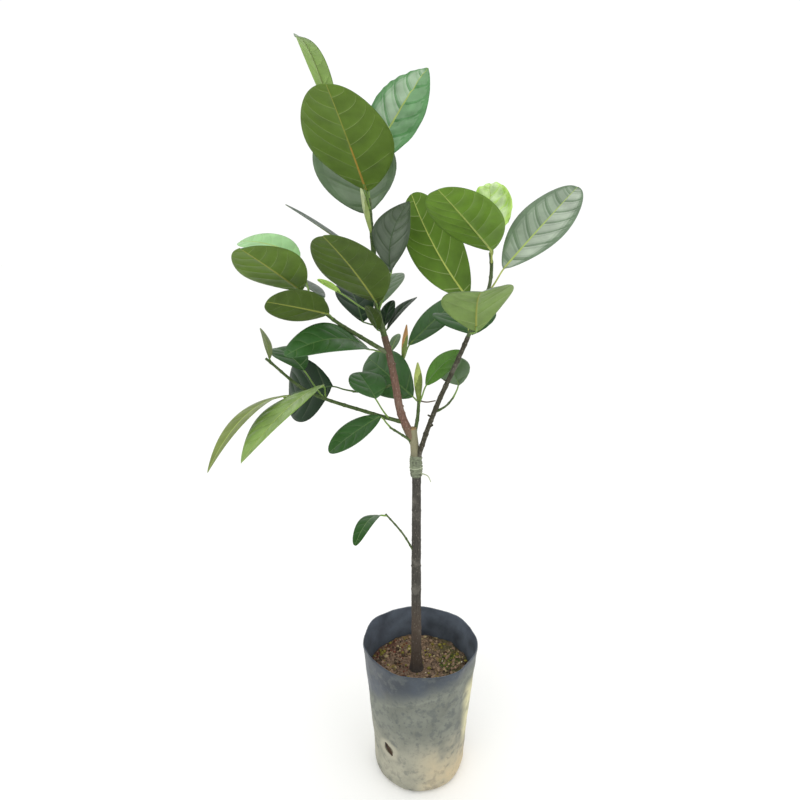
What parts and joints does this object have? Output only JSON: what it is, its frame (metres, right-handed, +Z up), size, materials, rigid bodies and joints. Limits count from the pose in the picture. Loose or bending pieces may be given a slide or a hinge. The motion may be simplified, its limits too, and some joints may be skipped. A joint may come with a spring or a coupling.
{
  "type": "potted jackfruit tree",
  "caption": "Young grafted jackfruit tree with broad glossy leaves on two boughs, standing in a soft black nursery bag filled with potting soil.",
  "frame": {"origin": "centre of the bag's flat underside", "axes": "+Z up along the trunk; the side seen in the picture faces -Y; +X is to the right in the picture"},
  "size_m": [0.4011, 0.2436, 0.8689],
  "materials": {
    "grow_bag": "satin",
    "potting_soil": "matte",
    "trunk": "matte",
    "leader_bough": "matte",
    "right_bough": "matte",
    "graft_tape": "matte",
    "leader_middle_leaves": "satin",
    "leader_tip_leaves": "satin",
    "upper_left_leaves": "satin",
    "left_middle_leaves": "satin",
    "lower_left_leaves": "satin",
    "fork_leaf": "satin",
    "centre_leaves": "satin",
    "centre_back_leaves": "satin",
    "right_middle_leaf": "satin",
    "right_tip_leaves": "satin",
    "low_leaf": "satin"
  },
  "bodies": {
    "root": {"grow_bag": "grow_bag", "potting_soil": "potting_soil", "trunk": "trunk", "leader_bough": "leader_bough", "right_bough": "right_bough", "graft_tape": "graft_tape", "leader_middle_leaves": "leader_middle_leaves", "leader_tip_leaves": "leader_tip_leaves", "upper_left_leaves": "upper_left_leaves", "left_middle_leaves": "left_middle_leaves", "lower_left_leaves": "lower_left_leaves", "fork_leaf": "fork_leaf", "centre_leaves": "centre_leaves", "centre_back_leaves": "centre_back_leaves", "right_middle_leaf": "right_middle_leaf", "right_tip_leaves": "right_tip_leaves", "low_leaf": "low_leaf"}
  },
  "joints": []
}
